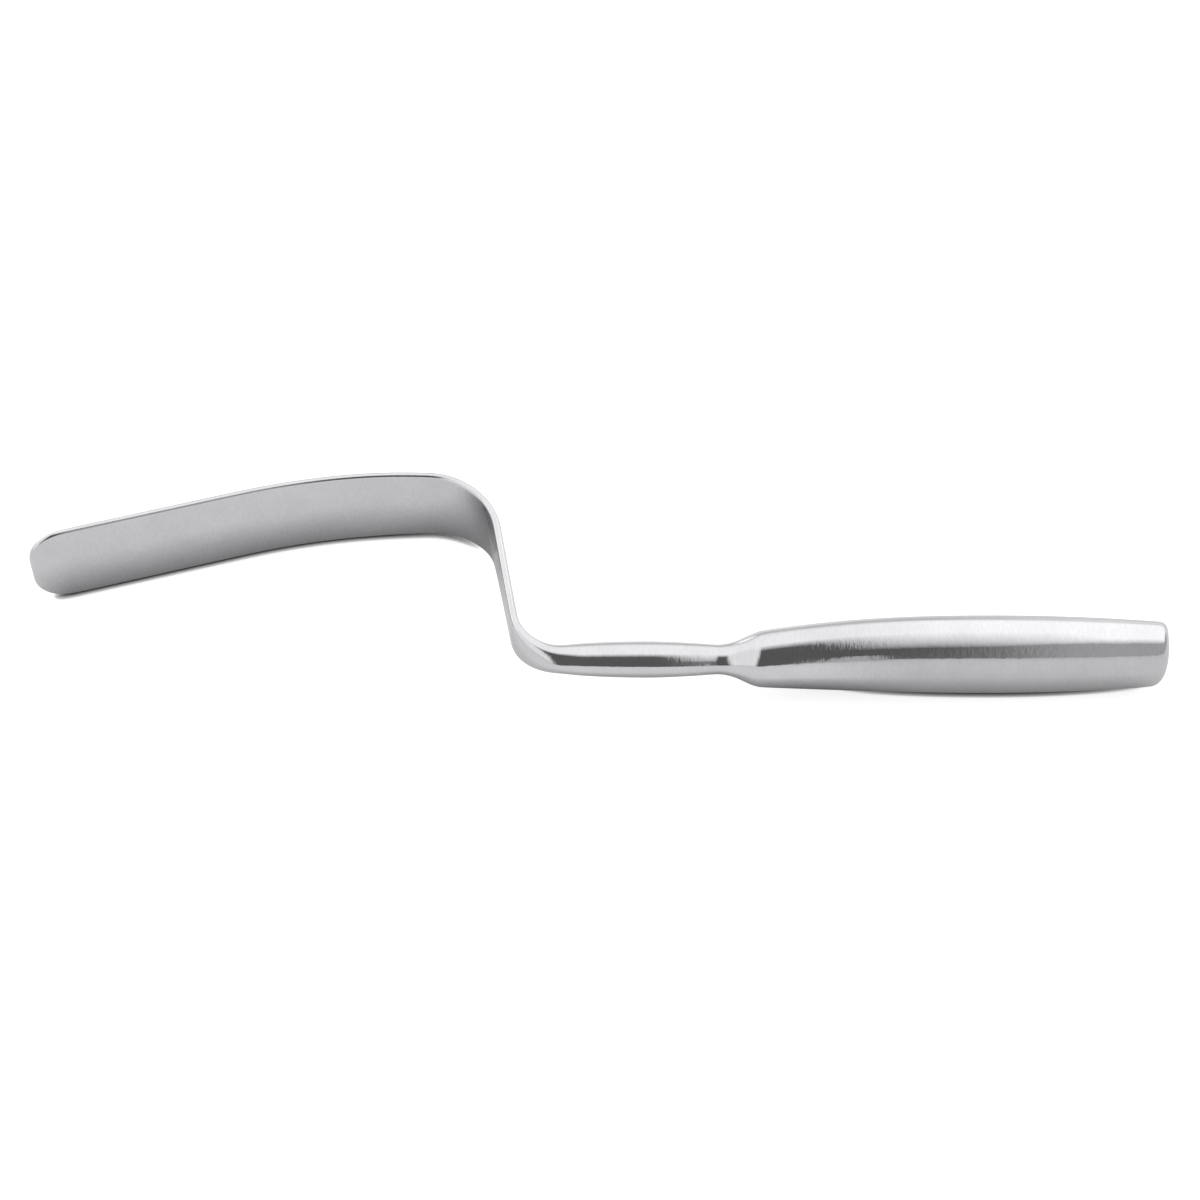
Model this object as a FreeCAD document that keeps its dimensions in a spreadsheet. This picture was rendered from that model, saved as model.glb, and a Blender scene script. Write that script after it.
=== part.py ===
import FreeCAD, Part
import math
import os
import Sketcher

# A deep surgical retractor in stainless steel, forged, ground and polished in one piece.
# It lies on its side: the plane of its Z bend is level, and the edge of its blade and the
# fattest line of its grip touch the table. X runs along the grip towards its end, Y runs
# towards the blade's side, and the origin is the middle of the grip.

doc = FreeCAD.newDocument("SurgicalRetractor")

# Driving sizes, in millimetres and degrees. Widths run up from the table, thicknesses across.
drivingSizes = {
    "bladeWidth": 25.6,
    "bladeThickness": 1.9,
    "bladeStraight": 60.9,
    "tipCorner": 9.6,
    "bladeSlope": 17.7,
    "bladeCurveRadius": 177,
    "narrowingSlope": 8,
    "bladeRootWidth": 24.4,
    "upperBendRadius": 21.7,
    "neckAngle": 80.3,
    "neckLength": 32.1,
    "neckWidth": 12.5,
    "neckThickness": 2.3,
    "lowerBendRadius": 13.5,
    "shankLength": 53,
    "shankRootDiameter": 8.8,
    "shankRootPlace": 4.3,
    "bellyDiameter": 10.1,
    "bellyPlace": 24,
    "waistDiameter": 8.2,
    "waistPlace": 43,
    "shankOffset": 1.9,
    "shoulderWidth": 16.8,
    "shoulderThickness": 14.2,
    "shoulderRounding": 3,
    "gripLength": 115.2,
    "gripFullPlace": 66,
    "gripThickness": 17.8,
    "endWidth": 21.4,
    "endThickness": 13.6,
    "endCrownRadius": 30,
    "endCrownOffset": 3,
    "endRounding": 1.8,
}
sizes = doc.addObject("Spreadsheet::Sheet", "Sizes")
for row, (alias, number) in enumerate(drivingSizes.items(), start=1):
    sizes.set(f"A{row}", alias)
    sizes.set(f"B{row}", str(number))
    sizes.setAlias(f"B{row}", alias)

# The path of the bar's middle, worked back from the shoulder to the blade's tip
pathPoints = {
    "shoulderX": "-Sizes.gripLength / 2",
    "shankY": "-Sizes.shankOffset",
    "shankRootX": "Path.shoulderX - Sizes.shankLength",
    "lowerCentreY": "Path.shankY + Sizes.lowerBendRadius",
    "neckLowX": "Path.shankRootX - Sizes.lowerBendRadius * sin(Sizes.neckAngle)",
    "neckLowY": "Path.lowerCentreY - Sizes.lowerBendRadius * cos(Sizes.neckAngle)",
    "neckHighX": "Path.neckLowX - Sizes.neckLength * cos(Sizes.neckAngle)",
    "neckHighY": "Path.neckLowY + Sizes.neckLength * sin(Sizes.neckAngle)",
    "upperCentreX": "Path.neckHighX - Sizes.upperBendRadius * sin(Sizes.neckAngle)",
    "upperCentreY": "Path.neckHighY - Sizes.upperBendRadius * cos(Sizes.neckAngle)",
    "curveCentreY": "Path.upperCentreY + Sizes.upperBendRadius - Sizes.bladeCurveRadius",
    "narrowingX": "Path.upperCentreX - Sizes.bladeCurveRadius * sin(Sizes.narrowingSlope)",
    "narrowingY": "Path.curveCentreY + Sizes.bladeCurveRadius * cos(Sizes.narrowingSlope)",
    "straightX": "Path.upperCentreX - Sizes.bladeCurveRadius * sin(Sizes.bladeSlope)",
    "straightY": "Path.curveCentreY + Sizes.bladeCurveRadius * cos(Sizes.bladeSlope)",
    "cornerX": "Path.straightX - (Sizes.bladeStraight - Sizes.tipCorner) * cos(Sizes.bladeSlope)",
    "cornerY": "Path.straightY - (Sizes.bladeStraight - Sizes.tipCorner) * sin(Sizes.bladeSlope)",
    "tipX": "Path.straightX - Sizes.bladeStraight * cos(Sizes.bladeSlope)",
    "tipY": "Path.straightY - Sizes.bladeStraight * sin(Sizes.bladeSlope)",
}
path = doc.addObject("App::VarSet", "Path")
for name, formula in pathPoints.items():
    path.addProperty("App::PropertyFloat", name, "Points")
    path.setExpression(name, formula)
doc.recompute()

body = doc.addObject("PartDesign::Body", "Retractor")
body.Label = "retractor"
axisZ = FreeCAD.Vector(0, 0, 1)


def point(x, y):
    return FreeCAD.Vector(x, y, 0)


def newSketch(name, role):
    plane = next(feature for feature in body.Origin.OriginFeatures if feature.Role == role)
    sketch = body.newObject("Sketcher::SketchObject", name)
    sketch.AttachmentSupport = [(plane, "")]
    sketch.MapMode = "FlatFace"
    return sketch


def bindConstraint(sketch, formula, *constraint):
    number = sketch.addConstraint(Sketcher.Constraint(*constraint))
    sketch.setExpression(f"Constraints[{number}]", formula)


def value(formula):
    return float(sizes.evalExpression(formula))


def squareTo(name, place):
    """A sketch across the path at one place on it."""
    x, y, turn = place
    sketch = newSketch(name, "YZ_Plane")
    upright = FreeCAD.Vector(0, 1, 0)
    sketch.AttachmentOffset = FreeCAD.Placement(point(0, 0), FreeCAD.Rotation(upright, 1))
    sketch.setExpression(".AttachmentOffset.Base.z", x)
    sketch.setExpression(".AttachmentOffset.Base.x", y)
    sketch.setExpression(".AttachmentOffset.Rotation.Angle", turn)
    return sketch


def closedSection(sketch, wide, edge, faces, centreRise):
    """Joins two given faces by round edges, each edge as two arcs, and centres the lot."""
    rise = wide - edge
    above = Part.Circle(point(0, rise), axisZ, edge)
    below = Part.Circle(point(0, -rise), axisZ, edge)
    (right, rightEnd), (left, leftEnd) = faces
    quarters = [
        Part.ArcOfCircle(above, rightEnd, math.pi / 2), Part.ArcOfCircle(above, math.pi / 2, leftEnd),
        Part.ArcOfCircle(below, 2 * math.pi - leftEnd, 1.5 * math.pi),
        Part.ArcOfCircle(below, 1.5 * math.pi, 2 * math.pi - rightEnd),
    ]
    for piece in (right, *quarters[:2], left, *quarters[2:]):
        sketch.addGeometry(piece, False)
    for piece in range(6):
        sketch.addConstraint(Sketcher.Constraint("Tangent", piece, 2, (piece + 1) % 6, 1))
    for first, second in ((1, 2), (4, 5), (1, 4)):
        sketch.addConstraint(Sketcher.Constraint("Equal", first, second))
    for piece, end in ((1, 2), (4, 2), (1, 3)):
        sketch.addConstraint(Sketcher.Constraint("PointOnObject", piece, end, -2))
    bindConstraint(sketch, centreRise, "DistanceY", -1, 1, 1, 3, rise)


def ovalSection(name, place, halfThickness, halfWidth, edgeRadius):
    """A four-centre oval: two wide arcs for its faces and two tight ones for its edges."""
    sketch = squareTo(name, place)
    faceRadius = (f"((({halfThickness})^2 - ({edgeRadius})^2 + ({halfWidth} - ({edgeRadius}))^2)"
                  f" / (2 * ({halfThickness} - ({edgeRadius}))))")
    thick, edge, face, wide = (
        float(sketch.evalExpression(formula))
        for formula in (halfThickness, edgeRadius, faceRadius, halfWidth)
    )
    back = face - thick
    meet = math.atan2(wide - edge, back)
    right = Part.ArcOfCircle(Part.Circle(point(-back, 0), axisZ, face), -meet, meet)
    left = Part.ArcOfCircle(Part.Circle(point(back, 0), axisZ, face), math.pi - meet, math.pi + meet)
    closedSection(sketch, wide, edge, ((right, meet), (left, math.pi - meet)), f"{halfWidth} - ({edgeRadius})")
    for arc in (0, 3):
        sketch.addConstraint(Sketcher.Constraint("PointOnObject", arc, 3, -1))
    sketch.addConstraint(Sketcher.Constraint("Equal", 0, 3))
    bindConstraint(sketch, edgeRadius, "Radius", 1, edge)
    bindConstraint(sketch, faceRadius, "Radius", 0, face)
    return sketch


def stripSection(name, place, halfThickness, halfWidth):
    """Two flat faces between two round edges."""
    sketch = squareTo(name, place)
    thick = float(sketch.evalExpression(halfThickness))
    wide = float(sketch.evalExpression(halfWidth))
    rise = wide - thick
    right = Part.LineSegment(point(thick, -rise), point(thick, rise))
    left = Part.LineSegment(point(-thick, rise), point(-thick, -rise))
    closedSection(sketch, wide, thick, ((right, 0), (left, math.pi)), f"{halfWidth} - {halfThickness}")
    sketch.addConstraint(Sketcher.Constraint("Symmetric", 1, 3, 4, 3, -1, 1))
    bindConstraint(sketch, halfThickness, "Radius", 1, thick)
    return sketch


def loft(name, sections):
    feature = body.newObject("PartDesign::AdditiveLoft", name)
    feature.Ruled = True
    feature.Profile = (sections[0], [])
    feature.Sections = [(section, [""]) for section in sections[1:]]
    return feature


def blend(first, last, share):
    return f"({first} + ({last} - {first}) * {share:.5f})"


def ease(share, leaving=0):
    """Level at its start, and at its end as steep as leaving says."""
    return share * share * (3 - leaving - (2 - leaving) * share)


def steps(count):
    return [step / count for step in range(count)]


# Places along the bar's middle, each as its x, its y and its turn about the upright axis

def betweenPoints(first, last, share, turn):
    return (blend(f"Path.{first}X", f"Path.{last}X", share),
            blend(f"Path.{first}Y", f"Path.{last}Y", share), turn)


def onBladeCurve(share):
    turn = blend("Sizes.narrowingSlope", "0", share)
    return (f"Path.upperCentreX - Sizes.bladeCurveRadius * sin({turn})",
            f"Path.curveCentreY + Sizes.bladeCurveRadius * cos({turn})", turn)


def onUpperBend(share):
    turn = blend("0", "Sizes.neckAngle", share)
    return (f"Path.upperCentreX + Sizes.upperBendRadius * sin({turn})",
            f"Path.upperCentreY + Sizes.upperBendRadius * cos({turn})", f"-{turn}")


def onLowerBend(share):
    turn = blend("Sizes.neckAngle", "0", share)
    return (f"Path.shankRootX - Sizes.lowerBendRadius * sin({turn})",
            f"Path.lowerCentreY - Sizes.lowerBendRadius * cos({turn})", f"-{turn}")


def onShank(distance):
    return f"Path.shankRootX + {distance}", "Path.shankY", "0"


# The bar's sections run from round to full oval

arcMeeting = 1 + math.sqrt(0.5)
shankOvality = 1.012
halfBladeWidth = "Sizes.bladeWidth / 2"
halfRootWidth = "Sizes.bladeRootWidth / 2"
halfNeckWidth = "Sizes.neckWidth / 2"
halfBladeThickness = "Sizes.bladeThickness / 2"
halfNeckThickness = "Sizes.neckThickness / 2"
halfShankRoot = "Sizes.shankRootDiameter / 2"
halfBelly = "Sizes.bellyDiameter / 2"
halfWaist = "Sizes.waistDiameter / 2"
halfShoulderWidth = "Sizes.shoulderWidth / 2"
halfShoulderThickness = "Sizes.shoulderThickness / 2"


def barSection(name, place, halfThickness, halfWidth):
    edgeRadius = f"({halfWidth} - {arcMeeting:.5f} * ({halfWidth} - {halfThickness}))"
    return ovalSection(name, place, halfThickness, halfWidth, edgeRadius)


def shankSection(name, distance, halfThickness):
    return barSection(name, onShank(distance), halfThickness, f"({halfThickness} * {shankOvality})")


# The blade keeps one section along a line and a long curve
bladeStart = stripSection("BladeStart", ("Path.cornerX", "Path.cornerY", "Sizes.bladeSlope"),
                          halfBladeThickness, halfBladeWidth)
bladePath = newSketch("BladePath", "XY_Plane")
corner = point(value("Path.cornerX"), value("Path.cornerY"))
straight = point(value("Path.straightX"), value("Path.straightY"))
curveRadius = value("Sizes.bladeCurveRadius")
curveCentre = point(value("Path.upperCentreX"), value("Path.curveCentreY"))
slope = math.radians(value("Sizes.bladeSlope"))
narrowingSlope = math.radians(value("Sizes.narrowingSlope"))
bladePath.addGeometry(Part.LineSegment(corner, straight), False)
bladePath.addGeometry(Part.ArcOfCircle(Part.Circle(curveCentre, axisZ, curveRadius),
                                       math.pi / 2 + narrowingSlope, math.pi / 2 + slope), False)
bladePath.addConstraint(Sketcher.Constraint("Tangent", 0, 2, 1, 2))
bindConstraint(bladePath, "-Path.cornerX", "DistanceX", 0, 1, -1, 1, -corner.x)
bindConstraint(bladePath, "Path.cornerY", "DistanceY", -1, 1, 0, 1, corner.y)
bindConstraint(bladePath, "-Path.straightX", "DistanceX", 0, 2, -1, 1, -straight.x)
bindConstraint(bladePath, "Path.straightY", "DistanceY", -1, 1, 0, 2, straight.y)
bindConstraint(bladePath, "Sizes.bladeCurveRadius", "Radius", 1, curveRadius)
bindConstraint(bladePath, "-Path.narrowingX", "DistanceX", 1, 1, -1, 1, -value("Path.narrowingX"))
blade = body.newObject("PartDesign::AdditivePipe", "Blade")
blade.Profile = (bladeStart, [])
blade.Spine = (bladePath, ["Edge1", "Edge2"])

# Its rounded end: two corners of one radius, thinned to a full round at the very edge
tipSections = [bladeStart]
for angle in (10, 20, 30, 40, 49, 57, 64, 70, 75, 79.5, 83.5, 86.5):
    along = math.sin(math.radians(angle))
    pulledIn = 1 - math.cos(math.radians(angle))
    edgeLeft = f"max(0; 1 - {1 - along:.6f} * Sizes.tipCorner / ({halfBladeThickness}))"
    tipSections.append(stripSection(
        f"Tip{len(tipSections)}", betweenPoints("corner", "tip", along, "Sizes.bladeSlope"),
        f"({halfBladeThickness} * sqrt(1 - {edgeLeft}^2))",
        f"({halfBladeWidth} - Sizes.tipCorner * {pulledIn:.5f})"))
tip = loft("Tip", tipSections)

# Upper bend and neck: the strip narrows all the way down to the lower bend
neckSections = []
for share in steps(4):
    neckSections.append(stripSection(
        f"BladeCurve{len(neckSections)}", onBladeCurve(share),
        halfBladeThickness, blend(halfBladeWidth, halfRootWidth, share ** 2)))
narrowedInBend = 0.49
for share in steps(12):
    neckSections.append(stripSection(
        f"UpperBend{len(neckSections)}", onUpperBend(share),
        blend(halfBladeThickness, halfNeckThickness, share),
        blend(halfRootWidth, halfNeckWidth, ease(narrowedInBend * share))))
for share in steps(5) + [1]:
    narrowed = narrowedInBend + (1 - narrowedInBend) * share
    neckSections.append(stripSection(
        f"Neck{len(neckSections)}", betweenPoints("neckHigh", "neckLow", share, "-Sizes.neckAngle"),
        halfNeckThickness, blend(halfRootWidth, halfNeckWidth, ease(narrowed))))
neck = loft("Neck", neckSections[:-1])

# Lower bend: the strip thickens and narrows until it is the round root of the shank
elbowSections = neckSections[-2:]
for share in steps(10)[1:] + [1]:
    thickened = 0.8 * share
    thickness = blend(halfNeckThickness, halfShankRoot, ease(thickened, 0.44))
    elbowSections.append(ovalSection(
        f"Elbow{len(elbowSections)}", onLowerBend(share), thickness,
        blend(halfNeckWidth, halfShankRoot, ease(thickened, -0.81)),
        f"({0.8 + 0.2 * thickened ** 3:.5f} * {thickness})"))

# Shank: a belly, a waist and a flare
shankSections = [shankSection("Shank0", "Sizes.shankRootPlace", halfShankRoot)]
for share in steps(5)[1:] + [1]:
    distance = blend("Sizes.shankRootPlace", "Sizes.bellyPlace", share)
    halfThickness = blend(halfShankRoot, halfBelly, 1 - (1 - share) ** 2)
    shankSections.append(shankSection(f"Shank{len(shankSections)}", distance, halfThickness))
for share in steps(5)[1:]:
    distance = blend("Sizes.bellyPlace", "Sizes.waistPlace", share)
    halfThickness = blend(halfBelly, halfWaist, share ** 1.6)
    shankSections.append(shankSection(f"Shank{len(shankSections)}", distance, halfThickness))

# The flare meets the grip at the shoulder, which is rounded for a short way on both sides
halfFull = "Sizes.gripThickness / 2"
fullX = "(Path.shoulderX + Sizes.gripFullPlace)"
flareLength = "(Sizes.shankLength - Sizes.waistPlace)"
gripFullness = 2.2


def shoulderInset(waist, shoulder, full):
    """How far the rounding takes one half size in, at the shoulder itself."""
    return (f"(Sizes.shoulderRounding / 4 * (2 * ({shoulder} - {waist}) / {flareLength}"
            f" - {gripFullness} * ({full} - {shoulder}) / Sizes.gripFullPlace))")


thicknessInset = shoulderInset(halfWaist, halfShoulderThickness, halfFull)
widthInset = shoulderInset(f"({halfWaist} * {shankOvality})", halfShoulderWidth, halfBladeWidth)


def flareSection(back, rounded=0):
    """A section some way back from the shoulder."""
    share = f"(1 - {back} / {flareLength})^2"
    waistWidth = f"({halfWaist} * {shankOvality})"
    return barSection(
        f"Flare{len(shankSections)}", onShank(f"Sizes.shankLength - {back}"),
        f"({halfWaist} + ({halfShoulderThickness} - {halfWaist}) * {share} - {rounded} * {thicknessInset})",
        f"({waistWidth} + ({halfShoulderWidth} - {waistWidth}) * {share} - {rounded} * {widthInset})")


def fillingSection(ahead, rounded=0):
    """A section some way ahead of the shoulder, where the grip still fills out."""
    left = f"(1 - {ahead} / Sizes.gripFullPlace)"
    filled = f"{left}^{gripFullness}"
    return barSection(
        f"Grip{len(gripSections)}", (f"Path.shoulderX + {ahead}", f"-Sizes.shankOffset * {left}^3", "0"),
        f"({halfFull} + ({halfShoulderThickness} - {halfFull}) * {filled} - {rounded} * {thicknessInset})",
        f"({halfBladeWidth} + ({halfShoulderWidth} - {halfBladeWidth}) * {filled} - {rounded} * {widthInset})")


for share in steps(5):
    shankSections.append(flareSection(blend(flareLength, "Sizes.shoulderRounding", share)))
for left in (1, 0.5, 0):
    shankSections.append(flareSection(f"({left} * Sizes.shoulderRounding)", (1 - left) ** 2))
elbow = loft("Elbow", elbowSections + shankSections[:1])
shank = loft("Shank", shankSections)

# Grip: an oval barrel, as wide as the blade where it is fullest
endStock = 1
finishX = f"(Sizes.gripLength / 2 + {endStock})"
gripSections = [shankSections[-1]]
gripSections.append(fillingSection("(0.5 * Sizes.shoulderRounding)", 0.25))
for share in steps(8):
    gripSections.append(fillingSection(blend("Sizes.shoulderRounding", "Sizes.gripFullPlace", share)))
for share in steps(7) + [1]:
    gripSections.append(barSection(
        f"Grip{len(gripSections)}", (blend(fullX, finishX, share), "0", "0"),
        blend(halfFull, "Sizes.endThickness / 2", share ** 2),
        blend(halfBladeWidth, "Sizes.endWidth / 2", share ** 2)))
grip = loft("Grip", gripSections)
doc.recompute()

# The end of the grip is crowned, higher on the blade's side, and its rim rounded
crownSketch = newSketch("CrownSketch", "XY_Plane")
crownSketch.setExpression(".AttachmentOffset.Base.y", "Sizes.endCrownOffset")
endX = value("Sizes.gripLength / 2")
crownRadius = value("Sizes.endCrownRadius")
reach = value("Sizes.bladeWidth")
crownEdge = math.asin(reach / crownRadius)
crownX = endX - crownRadius * (1 - math.cos(crownEdge))
outerX = endX + 2 * endStock
crownCircle = Part.Circle(point(endX - crownRadius, 0), axisZ, crownRadius)
crownSketch.addGeometry(Part.ArcOfCircle(crownCircle, 0, crownEdge), False)
for first, last in ((point(crownX, reach), point(outerX, reach)), (point(outerX, reach), point(outerX, 0)),
                    (point(outerX, 0), point(endX, 0))):
    crownSketch.addGeometry(Part.LineSegment(first, last), False)
for piece in range(4):
    crownSketch.addConstraint(Sketcher.Constraint("Coincident", piece, 2, (piece + 1) % 4, 1))
crownSketch.addConstraint(Sketcher.Constraint("Horizontal", 1))
crownSketch.addConstraint(Sketcher.Constraint("Vertical", 2))
crownSketch.addConstraint(Sketcher.Constraint("Horizontal", 3))
crownSketch.addConstraint(Sketcher.Constraint("PointOnObject", 0, 1, -1))
crownSketch.addConstraint(Sketcher.Constraint("PointOnObject", 0, 3, -1))
bindConstraint(crownSketch, "Sizes.endCrownRadius", "Radius", 0, crownRadius)
bindConstraint(crownSketch, "Sizes.gripLength / 2", "DistanceX", -1, 1, 0, 1, endX)
bindConstraint(crownSketch, f"Sizes.gripLength / 2 + {2 * endStock}", "DistanceX", -1, 1, 2, 2, outerX)
bindConstraint(crownSketch, "Sizes.bladeWidth", "DistanceY", -1, 1, 0, 2, reach)
crown = body.newObject("PartDesign::Groove", "Crown")
crown.Profile = (crownSketch, [])
crown.ReferenceAxis = (crownSketch, ["H_Axis"])
crown.Angle = 360
doc.recompute()
crownFace = next(face for face in crown.Shape.Faces if isinstance(face.Surface, Part.Sphere))
rim = [f"Edge{number}" for number, edge in enumerate(crown.Shape.Edges, start=1)
       if any(edge.isSame(other) for other in crownFace.Edges)]
rounding = body.newObject("PartDesign::Fillet", "EndRounding")
rounding.Base = (crown, rim)
rounding.setExpression("Radius", "Sizes.endRounding")
body.Tip = rounding
doc.recompute()

for part in doc.Objects:
    if "Invalid" in part.State or "Error" in part.State:
        raise RuntimeError(f"{part.Name} did not build: {part.State}")
if crown.Shape.Volume >= grip.Shape.Volume:
    raise RuntimeError("The crown cut nothing from the grip's end")
if body.Shape.isNull() or not body.Shape.isValid() or len(body.Shape.Solids) != 1:
    raise RuntimeError("The retractor is not one valid solid")
print(f"volume {body.Shape.Volume:.0f} mm3, box {body.Shape.BoundBox}")

os.makedirs("parts", exist_ok=True)
body.Shape.exportStep(f"parts/{body.Label}.step")
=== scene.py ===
import math

import bmesh
import bpy
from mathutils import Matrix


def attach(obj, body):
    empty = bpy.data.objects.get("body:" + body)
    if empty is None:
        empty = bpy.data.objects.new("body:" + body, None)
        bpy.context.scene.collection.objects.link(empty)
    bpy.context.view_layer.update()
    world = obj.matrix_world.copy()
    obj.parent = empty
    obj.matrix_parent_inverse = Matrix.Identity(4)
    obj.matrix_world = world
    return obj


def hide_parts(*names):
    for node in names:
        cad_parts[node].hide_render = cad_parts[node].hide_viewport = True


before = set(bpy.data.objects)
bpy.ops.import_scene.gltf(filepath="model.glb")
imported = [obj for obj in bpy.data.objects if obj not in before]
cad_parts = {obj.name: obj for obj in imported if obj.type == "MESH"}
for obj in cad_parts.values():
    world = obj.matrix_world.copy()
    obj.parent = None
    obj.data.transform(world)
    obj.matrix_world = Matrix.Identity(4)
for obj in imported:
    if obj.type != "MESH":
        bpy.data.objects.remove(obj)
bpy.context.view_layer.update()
mm = 0.001
tiny = 1e-7  # in metres: a point nearer than this to the middle line is taken to be on it


def linearColour(hexCode):
    channels = [int(hexCode[i:i + 2], 16) / 255 for i in (0, 2, 4)]
    return [c / 12.92 if c <= 0.04045 else ((c + 0.055) / 1.055) ** 2.4 for c in channels] + [1]


def addNode(tree, kind, settings=None):  # each setting is a value, or the socket that it is linked to
    node = tree.nodes.new(kind)
    for name, value in (settings or {}).items():
        if isinstance(value, bpy.types.NodeSocket):
            tree.links.new(value, node.inputs[name])
        elif isinstance(name, int) or name in node.inputs:
            node.inputs[name].default_value = value
        else:
            setattr(node, name, value)
    return node


def newMaterial(name):
    material = bpy.data.materials.new(name)
    material.use_nodes = True
    material.node_tree.nodes.clear()
    return material, material.node_tree


# Polished stainless steel. It was ground on a belt across the bar and then polished on a soft
# wheel: mirror bright, but a little wavy, so that reflected edges come back ragged. The belt's
# real lines are under a tenth of a millimetre wide, and are drawn as coarse as they need to show.
polish = {
    "colours": ("C5C4C7", "CDCCCE"), "streaks": (0.2, 0.8),
    "roughness": (0.04, 0.1), "patches": (0.3, 0.7), "patchSize": 9 * mm,
    "waveSize": 1.7 * mm, "waveHeight": 0.022 * mm,
    "lineWidth": 0.5 * mm, "lineLength": 1.8 * mm, "lineHeight": 0.01 * mm,
}


def polishedStainlessSteel():
    material, tree = newMaterial("polishedStainlessSteel")
    place = addNode(tree, "ShaderNodeTexCoord").outputs["Object"]
    patches = addNode(tree, "ShaderNodeTexNoise", {
        "Scale": 1 / polish["patchSize"], "Detail": 3, "Vector": place}).outputs[0]
    roughness = addNode(tree, "ShaderNodeMapRange", {
        "Value": patches, "From Min": polish["patches"][0], "From Max": polish["patches"][1],
        "To Min": polish["roughness"][0], "To Max": polish["roughness"][1]})
    waves = addNode(tree, "ShaderNodeTexNoise", {
        "Scale": 1 / polish["waveSize"], "Detail": 2, "Vector": place})
    waveBump = addNode(tree, "ShaderNodeBump", {
        "Distance": polish["waveHeight"], "Strength": 1, "Height": waves.outputs[0]})
    across = addNode(tree, "ShaderNodeMapping", {
        "Scale": (1 / polish["lineWidth"], 1 / polish["lineLength"], 1 / polish["lineLength"]),
        "Vector": place})
    lines = addNode(tree, "ShaderNodeTexNoise", {
        "Scale": 1, "Detail": 2, "Vector": across.outputs[0]}).outputs[0]
    lineBump = addNode(tree, "ShaderNodeBump", {
        "Distance": polish["lineHeight"], "Strength": 1, "Height": lines, "Normal": waveBump.outputs[0]})
    both = addNode(tree, "ShaderNodeMath", {"operation": "ADD", 0: lines, 1: patches})
    centred = addNode(tree, "ShaderNodeMath", {"operation": "SUBTRACT", 0: both.outputs[0], 1: 0.5})
    colour = addNode(tree, "ShaderNodeValToRGB", {"Fac": centred.outputs[0]})
    for stop, share, code in zip(colour.color_ramp.elements, polish["streaks"], polish["colours"]):
        stop.position, stop.color = share, linearColour(code)
    steel = addNode(tree, "ShaderNodeBsdfPrincipled", {
        "Metallic": 1, "Base Color": colour.outputs[0], "Roughness": roughness.outputs[0],
        "Normal": lineBump.outputs[0]})
    addNode(tree, "ShaderNodeOutputMaterial", {"Surface": steel.outputs[0]})
    return material


# The whole tool is one bar. It is drawn out straight from the end of the grip to the tip of the
# blade, ring by ring, and then bent. Sizes are in mm and degrees, as in the solid. A half is half
# the bar's thickness and half its width.
bar = {
    "gripLength": 115.2, "gripFullPlace": 66, "gripHalf": (8.9, 12.8), "endHalf": (6.8, 10.7),
    "endStock": 1, "endRounding": 1.8, "rimPlace": 1.5, "crownRadius": 30, "crownOffset": 3,
    "shoulderHalf": (7.1, 8.4), "shoulderRounding": 3, "shoulderInset": (0.405, 0.528),
    "shankOffset": 1.9, "shankLength": 53, "ovality": 1.012,
    "waistPlace": 43, "waistHalf": 4.1, "bellyPlace": 24, "bellyHalf": 5.05,
    "rootPlace": 4.3, "rootHalf": 4.4,
    "lowerBend": (13.5, 80.3, 12), "neckLength": 32.1, "neckHalf": (1.15, 6.25),
    "upperBend": (21.7, 80.3, 14),  # a bend's radius, its turn, and the number of steps it is bent in
    "bladeCurve": (177, 17.7, 9), "narrowingSlope": 8,
    "bladeStraight": 60.9, "bladeHalf": (0.95, 12.8), "bladeRootHalf": 12.2, "tipCorner": 9.6,
    "gripFall": 2.2, "waistFall": 1.6, "roundnessFall": 1.2,  # how late each falls away: 1 is evenly
    "elbowEase": (0.44, -0.81),  # how steeply the thickness and the width set out from the round root
    # a quarter of the flat strip's outline, from the middle of its face to the middle of its edge: a
    # share of the thickness one way, and shares of the flat and of the thickness the other
    "strip": ((1, 0, 0), (1, 0.6, 0), (1, 1, -0.2), (1, 1, 0.15), (0.74, 1, 0.78), (0, 1, 1.06)),
    # where the rings stand close, and how many there are in each smooth stretch
    "crownShares": (0.15, 0.4, 0.7), "roundingAngles": (90, 60, 30, 0), "taperStart": 4,
    "tipAngles": (20, 38, 54, 65, 73, 79, 83.5, 87),
    "rings": {"taper": 8, "shoulder": 9, "flare": 5, "waist": 6, "belly": 5, "neck": 8, "blade": 7},
    "cagePoints": 20, "subdivisions": 2, "roundSwell": 0.0166,  # subdivision draws a round ring in by this
}


def mix(first, last, share):
    return first + (last - first) * share


def ease(share, leaving=0):
    return share * share * (3 - leaving - (2 - leaving) * share)


def quarterOutline(half, roundness):
    thick, wide = half
    swell = 1 + bar["roundSwell"] * roundness
    outline = []
    for step, (faceShare, flatShare, edgeShare) in enumerate(bar["strip"]):
        angle = math.radians(360 / bar["cagePoints"] * step)
        flatZ = flatShare * (wide - thick) + edgeShare * thick
        outline.append((mix(faceShare * thick, thick * math.cos(angle) * swell, roundness),
                        mix(flatZ, wide * math.sin(angle) * swell, roundness)))
    return outline


def endHalf(along):
    taper = bar["gripLength"] - bar["gripFullPlace"] + bar["endStock"]
    share = 1 - (along + bar["endStock"]) / taper
    return [mix(full, end, share ** 2) for full, end in zip(bar["gripHalf"], bar["endHalf"])]


def roundedShoulder(half, away):
    rounded = max(0, 1 - away / bar["shoulderRounding"]) ** 2
    return [size - rounded * inset for size, inset in zip(half, bar["shoulderInset"])]


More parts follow.
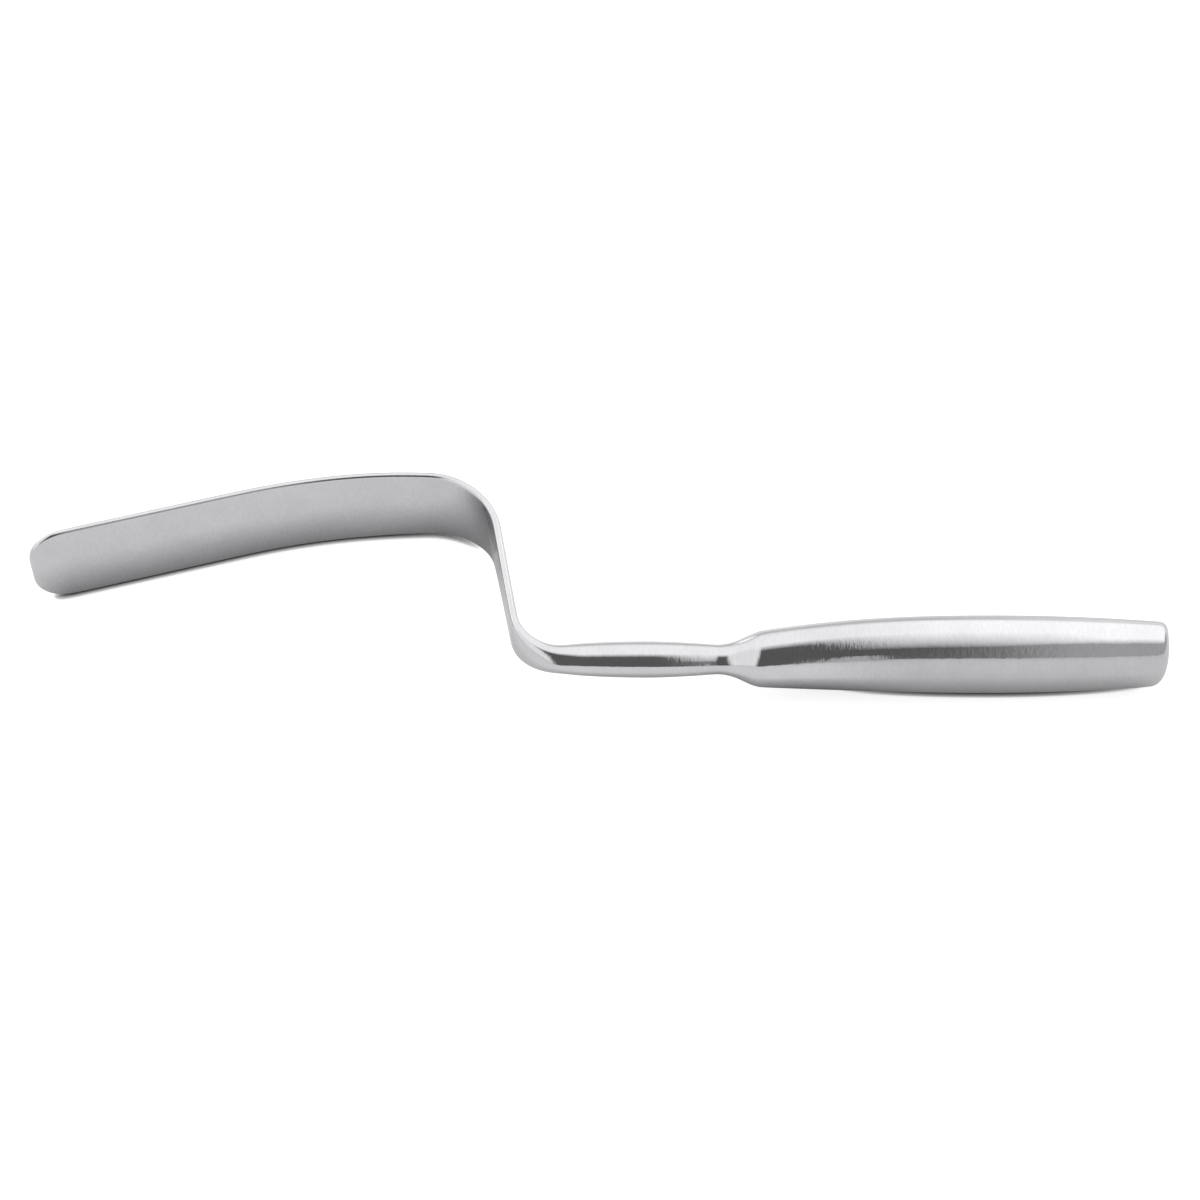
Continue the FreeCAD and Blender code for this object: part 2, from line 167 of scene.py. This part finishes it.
def gripRings():
    length, fullPlace, rounding = bar["gripLength"], bar["gripFullPlace"], bar["endRounding"]
    counts, shoulder = bar["rings"], bar["shoulderRounding"]
    rim = endHalf(rounding + bar["rimPlace"])
    rings = []
    for share in bar["crownShares"]:  # the crowned face, from near its middle out
        rings.append({"along": 0, "half": [(size - rounding) * share for size in rim],
                      "crown": True, "offset": 0})
    for angle in bar["roundingAngles"]:
        inset = rounding * (1 - math.cos(math.radians(angle)))
        rings.append({"along": rounding * (1 - math.sin(math.radians(angle))),
                      "half": [size - inset for size in rim], "crown": True, "offset": 0})
    for step in range(counts["taper"]):
        along = mix(rounding + bar["taperStart"], length - fullPlace, step / counts["taper"])
        rings.append({"along": along, "half": endHalf(along), "offset": 0})
    falling = [mix(fullPlace, shoulder, step / counts["shoulder"])
               for step in range(counts["shoulder"] + 1)]
    for place in falling + [shoulder / 2, 0]:
        left = 1 - place / fullPlace
        half = [mix(full, narrow, left ** bar["gripFall"])
                for full, narrow in zip(bar["gripHalf"], bar["shoulderHalf"])]
        rings.append({"along": length - place, "offset": bar["shankOffset"] * left ** 3,
                      "half": roundedShoulder(half, place)})
    return rings


def shankRings():
    waist, ovality, counts, rings = bar["waistHalf"], bar["ovality"], bar["rings"], []
    shoulder, (thick, wide) = bar["shoulderRounding"], bar["shoulderHalf"]
    flare = bar["shankLength"] - bar["waistPlace"]
    rising = [mix(shoulder, flare, step / counts["flare"]) for step in range(counts["flare"] + 1)]
    for back in [shoulder / 2] + rising:
        share = (1 - back / flare) ** 2
        half = [mix(waist, thick, share), mix(waist * ovality, wide, share)]
        rings.append((bar["shankLength"] - back, roundedShoulder(half, back)))
    for step in range(1, counts["waist"] + 1):
        share = 1 - step / counts["waist"]
        half = mix(bar["bellyHalf"], waist, share ** bar["waistFall"])
        rings.append((mix(bar["bellyPlace"], bar["waistPlace"], share), [half, half * ovality]))
    for step in range(1, counts["belly"] + 1):
        share = 1 - step / counts["belly"]
        half = mix(bar["rootHalf"], bar["bellyHalf"], 1 - (1 - share) ** 2)
        rings.append((mix(bar["rootPlace"], bar["bellyPlace"], share), [half, half * ovality]))
    return [{"along": bar["gripLength"] + bar["shankLength"] - place, "half": half}
            for place, half in rings]


def bendRings(name, start, shape):
    radius, turn, count = bar[name]
    chord = 2 * radius * math.sin(math.radians(turn / count / 2))
    return [{"along": start + chord * step, "bend": name, **shape(step / count)}
            for step in range(count + 1)]


def reach(name):
    radius, turn, count = bar[name]
    return radius * math.radians(turn)


def elbowShape(share):
    left = (1 - share) * reach("lowerBend") / (reach("lowerBend") + bar["rootPlace"])
    return {"half": [mix(flat, bar["rootHalf"], ease(left, leaving))
                     for flat, leaving in zip(bar["neckHalf"], bar["elbowEase"])],
            "roundness": left ** bar["roundnessFall"]}


def narrowedWidth(distance):
    return mix(bar["bladeRootHalf"], bar["neckHalf"][1],
               ease(distance / (reach("upperBend") + bar["neckLength"])))


def upperShape(share):
    left = 1 - share
    return {"half": [mix(bar["bladeHalf"][0], bar["neckHalf"][0], left),
                     narrowedWidth(left * reach("upperBend"))], "roundness": 0}


def bladeShape(share):
    left = max(0, 1 - share * bar["bladeCurve"][1] / bar["narrowingSlope"])
    thick, wide = bar["bladeHalf"]
    return {"half": [thick, mix(wide, bar["bladeRootHalf"], left ** 2)], "roundness": 0}


def tipRings(start):
    thick, wide = bar["bladeHalf"]
    corner, count, rings = bar["tipCorner"], bar["rings"]["blade"], []
    for step in range(1, count + 1):
        rings.append({"along": start + (bar["bladeStraight"] - corner) * step / count,
                      "half": (thick, wide)})
    for angle in bar["tipAngles"]:
        across, along = math.cos(math.radians(angle)), math.sin(math.radians(angle))
        edge = max(0, 1 - (1 - along) * corner / thick)
        rings.append({"along": start + bar["bladeStraight"] - corner * (1 - along),
                      "half": (thick * math.sqrt(1 - edge ** 2), wide - corner * (1 - across))})
    return [{"roundness": 0, **ring} for ring in rings]


def barRings():
    rings = gripRings() + shankRings()
    rings += bendRings("lowerBend", bar["gripLength"] + bar["shankLength"], elbowShape)
    start, count = rings[-1]["along"], bar["rings"]["neck"]
    for step in range(1, count):
        left = 1 - step / count
        width = narrowedWidth(reach("upperBend") + bar["neckLength"] * left)
        rings.append({"along": start + bar["neckLength"] * step / count,
                      "half": (bar["neckHalf"][0], width), "roundness": 0})
    rings += bendRings("upperBend", start + bar["neckLength"], upperShape)
    rings += bendRings("bladeCurve", rings[-1]["along"], bladeShape)[1:]
    return rings + tipRings(rings[-1]["along"])


def quadrants(mesh):  # the selected points, grouped by their height above or below the middle
    heights = sorted({round(abs(v.co.z), 9) for v in mesh.verts if v.select})
    return [[v.index for v in mesh.verts if v.select and round(abs(v.co.z), 9) == z] for z in heights]


def selectOnly(chosen):
    mesh = bmesh.from_edit_mesh(bpy.context.object.data)
    mesh.verts.ensure_lookup_table()
    for vertex in mesh.verts:
        vertex.select = False
    for index in chosen:
        mesh.verts[index].select = True
    mesh.select_flush_mode()
    bmesh.update_edit_mesh(bpy.context.object.data)
    return mesh


def shapeRing(ring):
    mesh = bmesh.from_edit_mesh(bpy.context.object.data)
    groups = quadrants(mesh)
    everything = [index for group in groups for index in group]
    mesh.verts.ensure_lookup_table()
    y = sum(mesh.verts[index].co.y for index in everything) / len(everything)
    target = bar["gripLength"] / 2 * mm - ring["along"] * mm
    for group, (newY, newZ) in zip(groups, quarterOutline(ring["half"], ring.get("roundness", 1))):
        vertex = selectOnly(group).verts[group[0]].co
        oldY, oldZ = abs(vertex.y - y), abs(vertex.z)
        bpy.ops.transform.translate(value=(target - vertex.x, 0, 0))
        bpy.ops.transform.resize(
            value=(1, newY * mm / oldY if oldY > tiny else 1, newZ * mm / oldZ if oldZ > tiny else 1),
            center_override=(target, y, 0))
    selectOnly(everything)
    bpy.ops.transform.translate(value=(0, -ring.get("offset", bar["shankOffset"]) * mm - y, 0))
    return everything


def crownEnd(rings, places):
    cage = bmesh.from_edit_mesh(bpy.context.object.data).verts
    middle = max(cage, key=lambda corner: (round(corner.co.x, 6), -corner.co.yz.length)).index
    crowned = [index for ring, place in zip(rings, places) if ring.get("crown") for index in place]
    for index in [middle] + crowned:
        corner = selectOnly([index]).verts[index].co
        away = math.hypot(corner.y / mm - bar["crownOffset"], corner.z / mm)
        sag = bar["crownRadius"] - math.sqrt(bar["crownRadius"] ** 2 - away ** 2)
        bpy.ops.transform.translate(value=(-sag * mm, 0, 0))


def drawBar(rings):
    bpy.ops.object.select_all(action="DESELECT")
    bpy.ops.mesh.primitive_circle_add(vertices=bar["cagePoints"], radius=mm, rotation=(0, math.pi / 2, 0))
    bpy.ops.object.transform_apply(location=True, rotation=True, scale=True)
    piece = bpy.context.object
    piece.name = "retractorBar"
    bpy.ops.object.mode_set(mode="EDIT")
    bpy.ops.mesh.select_all(action="SELECT")
    places = [shapeRing(rings[0])]
    bpy.ops.mesh.extrude_region_move()
    bpy.ops.mesh.merge(type="CENTER")
    selectOnly(places[0])
    for ring in rings[1:]:
        bpy.ops.mesh.extrude_region_move()
        places.append(shapeRing(ring))
    bpy.ops.mesh.edge_face_add()
    return piece, places


def bendBar(rings, places):  # each ring turns by half a step, and all beyond it by the whole step
    for name, sign in (("lowerBend", 1), ("upperBend", -1), ("bladeCurve", -1)):
        radius, turn, count = bar[name]
        half = math.radians(turn / count / 2) * sign
        stations = [i for i, ring in enumerate(rings) if ring.get("bend") == name]
        if name == "bladeCurve":  # it starts at the upper bend's last ring
            stations = [stations[0] - 1] + stations
        for station in stations:
            mesh = selectOnly(places[station])
            corners = [mesh.verts[i].co for i in places[station]]
            centre = sum(corners, corners[0] * 0) / len(corners)
            beyond = [index for place in places[station + 1:] for index in place]
            if station != stations[0]:
                selectOnly(places[station] + beyond)
                bpy.ops.transform.rotate(value=half, orient_axis="Z", center_override=centre)
            if station != stations[-1]:
                selectOnly(beyond)
                bpy.ops.transform.rotate(value=half, orient_axis="Z", center_override=centre)


print("drawing the bar out")
rings = barRings()
retractorBar, places = drawBar(rings)
crownEnd(rings, places)
print("bending it")
bendBar(rings, places)
bpy.ops.mesh.select_all(action="SELECT")
bpy.ops.mesh.normals_make_consistent(inside=False)
bpy.ops.object.mode_set(mode="OBJECT")
smoothing = retractorBar.modifiers.new("smoothing", "SUBSURF")
smoothing.levels = bar["subdivisions"]
bpy.ops.object.modifier_apply(modifier=smoothing.name)
bpy.ops.object.shade_smooth()
retractorBar.data.materials.append(polishedStainlessSteel())
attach(retractorBar, "root")
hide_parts("retractor")

# The table is pale board. It is lifted to white where the camera sees it, with a thin dark line of
# painted shade along the foot of the tool, drawn by ambient occlusion on top of its real shadow. What
# the steel mirrors of it is less lifted, and darker round the tool by a wider painted shade, which
# gives the steel its shaded foot. Four numbers are a ramp: where it starts and ends in mm, and its
# value at each. A shade has a depth, and a reach in mm.
table = {
    "size": 2, "colour": "B6B6B6",  # the size is in metres
    "seenLift": (350, 700, 0.75, 1.05),  # outwards from the middle, because the light falls off
    "mirroredLift": (-45, -5, 0.45, 0.28), "wideShade": (-45, -5, 1.5, 0.45),  # both along the tool
    "wideReach": 15, "footShade": 3, "footReach": 1.8, "shadeSamples": 6,
}


def paleBoard():
    material, tree = newMaterial("paleBoard")
    ray = addNode(tree, "ShaderNodeLightPath").outputs
    place = addNode(tree, "ShaderNodeTexCoord").outputs["Object"]
    along = addNode(tree, "ShaderNodeSeparateXYZ", {0: place}).outputs["X"]
    away = addNode(tree, "ShaderNodeVectorMath", {"operation": "LENGTH", 0: place}).outputs["Value"]
    ramps = {}
    for name, value in (("seenLift", away), ("mirroredLift", along), ("wideShade", along)):
        start, end, low, high = table[name]
        ramps[name] = addNode(tree, "ShaderNodeMapRange", {
            "interpolation_type": "SMOOTHSTEP", "Value": value, "From Min": start * mm,
            "From Max": end * mm, "To Min": low, "To Max": high}).outputs[0]
    inMetal = addNode(tree, "ShaderNodeMath", {
        "operation": "MAXIMUM", 0: ray["Is Glossy Ray"], 1: ray["Is Transmission Ray"]}).outputs[0]
    # The two shades are painted shade: ambient occlusion darkens the board's colour and its glow near the
    # tool
    shades, lifts = [], []
    for distance, depth in ((table["footReach"], table["footShade"]),
                            (table["wideReach"], ramps["wideShade"])):
        gap = addNode(tree, "ShaderNodeAmbientOcclusion", {
            "Distance": distance * mm, "samples": table["shadeSamples"]})
        shades.append(addNode(tree, "ShaderNodeMath", {
            "operation": "POWER", 0: gap.outputs["AO"], 1: depth}).outputs[0])
    shade = addNode(tree, "ShaderNodeMix", {
        "data_type": "FLOAT", 0: inMetal, 2: shades[0], 3: shades[1]}).outputs[0]
    for kindOfRay, lift in ((ray["Is Camera Ray"], ramps["seenLift"]), (inMetal, ramps["mirroredLift"])):
        lifts.append(addNode(tree, "ShaderNodeMath", {
            "operation": "MULTIPLY", 0: kindOfRay, 1: lift}).outputs[0])
    lifted = addNode(tree, "ShaderNodeMath", {"operation": "ADD", 0: lifts[0], 1: lifts[1]})
    strength = addNode(tree, "ShaderNodeMath", {"operation": "MULTIPLY", 0: lifted.outputs[0], 1: shade})
    # The board's colour is darkened by the painted shade
    colour = addNode(tree, "ShaderNodeVectorMath", {
        "operation": "SCALE", 0: linearColour(table["colour"])[:3], "Scale": shade})
    board = addNode(tree, "ShaderNodeBsdfDiffuse", {"Color": colour.outputs[0]})
    glow = addNode(tree, "ShaderNodeEmission", {"Strength": strength.outputs[0]})
    both = addNode(tree, "ShaderNodeAddShader", {0: board.outputs[0], 1: glow.outputs[0]})
    addNode(tree, "ShaderNodeOutputMaterial", {"Surface": both.outputs[0]})
    return material


def layFlat(name, size, place):
    bpy.ops.object.select_all(action="DESELECT")
    bpy.ops.mesh.primitive_plane_add(size=1, location=place)
    sheet = bpy.context.object
    sheet.name = name
    bpy.ops.transform.resize(value=(size[0], size[1], 1))
    bpy.ops.object.transform_apply(location=True, rotation=True, scale=True)
    return sheet


print("laying the table")
floorHeight = -bar["bladeHalf"][1] * mm
tableTop = layFlat("tableTop", (table["size"], table["size"]), (0, 0, floorHeight))
tableTop.data.materials.append(paleBoard())

# A light tent: a glowing sheet over the tool, which polished steel shows as its white. Its front
# edge fades out, in four stretches from the left to the right, and on the left it is cut back.
# Places are in mm, and the last two are ramps like the table's.
tent = {
    "height": 300, "width": 1500, "back": 1100, "front": -580,
    "turns": ((-400, -180), (-60, 20), (90, 160)),  # where each stretch gives way to the next
    "fadedOut": (-55, -165, -570, -400), "full": (75, -35, -30, -190),
    "brightness": (-60, 90, 1.38, 1.64),  # from the left to the right
    "dimming": (300, 1000, 1, 0.62),  # towards the back
}


def glowingSheet():
    material, tree = newMaterial("glowingSheet")
    place = addNode(tree, "ShaderNodeTexCoord").outputs["Object"]
    axes = addNode(tree, "ShaderNodeSeparateXYZ", {0: place}).outputs
    edges, levels = [], []
    for edge, *furtherRight in (tent["fadedOut"], tent["full"]):
        edge = edge * mm
        for (start, end), nextEdge in zip(tent["turns"], furtherRight):
            edge = addNode(tree, "ShaderNodeMapRange", {
                "interpolation_type": "SMOOTHSTEP", "Value": axes["X"], "From Min": start * mm,
                "From Max": end * mm, "To Min": edge, "To Max": nextEdge * mm}).outputs[0]
        edges.append(edge)
    for axis, (start, end, low, high) in (("X", tent["brightness"]), ("Y", tent["dimming"])):
        levels.append(addNode(tree, "ShaderNodeMapRange", {
            "interpolation_type": "SMOOTHSTEP", "Value": axes[axis], "From Min": start * mm,
            "From Max": end * mm, "To Min": low, "To Max": high}).outputs[0])
    share = addNode(tree, "ShaderNodeMapRange", {
        "Value": axes["Y"], "From Min": edges[0], "From Max": edges[1]})
    strength = addNode(tree, "ShaderNodeMath", {"operation": "MULTIPLY", 0: levels[0], 1: levels[1]})
    glow = addNode(tree, "ShaderNodeEmission", {"Strength": strength.outputs[0]})
    clear = addNode(tree, "ShaderNodeBsdfTransparent")
    cut = addNode(tree, "ShaderNodeMixShader", {
        0: share.outputs[0], 1: clear.outputs[0], 2: glow.outputs[0]})
    addNode(tree, "ShaderNodeOutputMaterial", {"Surface": cut.outputs[0]})
    return material


# The room round the tent: dim in front, lighter on the right, pale behind, a window on the left.
# Only the steel shows it, and beyond the table the camera sees a plain pale grey. Each light has
# an axis of the direction it comes from, where along that it starts and is full, and its
# strength. The background's own default grey, 0.8, scales them all, and is what the camera sees.
room = {
    "front": 0.18, "right": ("X", 0.08, 0.3, 0.5), "back": ("Y", 0, 0.6, 0.8),
    "window": ("X", -0.26, -0.48, 1.3),
}


def dimRoom():
    world = bpy.data.worlds.new("dimRoom")
    world.use_nodes = True
    tree = world.node_tree
    tree.nodes.clear()
    direction = addNode(tree, "ShaderNodeTexCoord").outputs["Generated"]
    axes = addNode(tree, "ShaderNodeSeparateXYZ", {0: direction}).outputs
    total = room["front"]
    for axis, start, full, strength in (room["right"], room["back"], room["window"]):
        light = addNode(tree, "ShaderNodeMapRange", {
            "interpolation_type": "SMOOTHSTEP", "Value": axes[axis], "From Min": start,
            "From Max": full, "To Min": 0, "To Max": strength})
        total = addNode(tree, "ShaderNodeMath", {
            "operation": "ADD", 0: total, 1: light.outputs[0]}).outputs[0]
    seen = addNode(tree, "ShaderNodeLightPath").outputs["Is Camera Ray"]
    brighter = addNode(tree, "ShaderNodeMath", {"operation": "MAXIMUM", 0: total, 1: seen})
    background = addNode(tree, "ShaderNodeBackground", {"Strength": brighter.outputs[0]})
    addNode(tree, "ShaderNodeOutputWorld", {"Surface": background.outputs[0]})
    bpy.context.scene.world = world


print("lighting it")
lightTent = layFlat("lightTent", (tent["width"] * mm, (tent["back"] - tent["front"]) * mm),
                    (0, (tent["back"] + tent["front"]) / 2 * mm, tent["height"] * mm))
lightTent.data.materials.append(glowingSheet())
lightTent.visible_camera = False
dimRoom()

# A pale rounded card that stands in front of the grip, in mm. Only the steel shows it, as the low
# arch in its dark band.
card = {"place": (-7, -300), "half": (13, 4, 80), "brightness": 0.62}
bpy.ops.object.select_all(action="DESELECT")
bpy.ops.mesh.primitive_uv_sphere_add(
    radius=mm, location=(card["place"][0] * mm, card["place"][1] * mm, floorHeight))
paleCard = bpy.context.object
paleCard.name = "paleCard"
bpy.ops.transform.resize(value=card["half"])
bpy.ops.object.transform_apply(location=True, rotation=True, scale=True)
cardMaterial, cardTree = newMaterial("paleCard")
cardGlow = addNode(cardTree, "ShaderNodeEmission", {"Strength": card["brightness"]})
addNode(cardTree, "ShaderNodeOutputMaterial", {"Surface": cardGlow.outputs[0]})
paleCard.data.materials.append(cardMaterial)
paleCard.visible_camera = paleCard.visible_diffuse = paleCard.visible_shadow = False

# The photograph's view, worked out from the outline of the bar, in mm and degrees
photoView = {
    "place": (-99.85, -428.9, 490.3), "downwards": 47.5, "fieldOfView": 28.64, "nearest": 10,
}
bpy.ops.object.camera_add(location=[number * mm for number in photoView["place"]],
                          rotation=(math.radians(90 - photoView["downwards"]), 0, 0))
camera = bpy.context.object
camera.data.angle = math.radians(photoView["fieldOfView"])
camera.data.clip_start = photoView["nearest"] * mm
bpy.context.scene.camera = camera
bpy.context.scene.view_settings.view_transform = "Standard"

print("finished")
